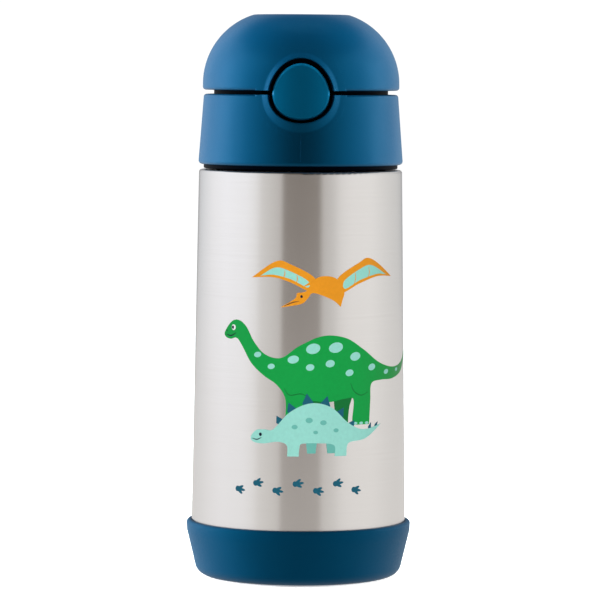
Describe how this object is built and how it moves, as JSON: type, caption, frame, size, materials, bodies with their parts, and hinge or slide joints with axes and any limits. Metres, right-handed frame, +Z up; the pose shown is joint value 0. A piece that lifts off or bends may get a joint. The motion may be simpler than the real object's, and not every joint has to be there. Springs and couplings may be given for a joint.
{
  "type": "kids water bottle",
  "caption": "Children's insulated steel drinking bottle with a soft boot, a screw-on base and a push-button hinged dome over a soft spout.",
  "frame": {"origin": "middle of the boot's underside, where the bottle stands", "axes": "+Z up along the bottle's axis, the button faces -Y and the lid's hinge is at +Y"},
  "size_m": [0.0762, 0.0762, 0.1905],
  "materials": {
    "steel_brushed": "brushed around the body, clear coated",
    "steel_inner": "satin, unpolished",
    "spring_steel": "bright drawn wire",
    "pin_steel": "ground pin",
    "blue_plastic": "fine satin moulding",
    "button_plastic": "smooth satin moulding",
    "dark_plastic": "fine matt moulding",
    "blue_silicone": "soft matt silicone",
    "clear_silicone": "translucent soft silicone",
    "straw_plastic": "translucent tube",
    "seal_glass": "fused bead",
    "getter_metal": "sintered pad"
  },
  "bodies": {
    "flask": {"outer_shell": "steel_brushed", "inner_liner": "steel_inner", "outer_base": "steel_inner", "vacuum_seal_bead": "seal_glass", "getter_pad": "getter_metal", "silicone_boot": "blue_silicone"},
    "seal": {"body_gasket": "clear_silicone"},
    "lid_base": {"collar_shell": "blue_plastic", "threaded_insert": "dark_plastic", "spout": "clear_silicone", "straw": "straw_plastic", "vent_valve": "clear_silicone", "hinge_pin": "pin_steel", "lid_spring": "spring_steel", "button_spring": "spring_steel"},
    "lid": {"lid_shell": "blue_plastic", "lid_liner": "dark_plastic", "spout_seal_pad": "clear_silicone"},
    "button": {"release_button": "button_plastic", "latch_frame": "dark_plastic"}
  },
  "joints": [
    {"name": "lid_lift", "type": "slide", "parent": "flask", "child": "seal", "axis": [0, 0, 1], "range_m": [0, 0.006]},
    {"name": "lid_unscrew", "type": "hinge", "parent": "seal", "child": "lid_base", "pos_m": [0, 0, 0.1445], "axis": [0, 0, 1], "range_deg": [0, 540]},
    {"name": "lid_hinge", "type": "hinge", "parent": "lid_base", "child": "lid", "pos_m": [0, 0.0346, 0.1642], "axis": [-1, 0, 0], "range_deg": [0, 115], "deforming": ["lid_spring"]},
    {"name": "button_press", "type": "slide", "parent": "lid_base", "child": "button", "axis": [0, 1, 0], "range_m": [0, 0.002], "stiffness_N_per_m": 800, "deforming": ["button_spring"]}
  ],
  "couplings": [
    {"joint": "lid_unscrew", "follows": "lid_lift", "rad_per_m": 1570.8}
  ]
}
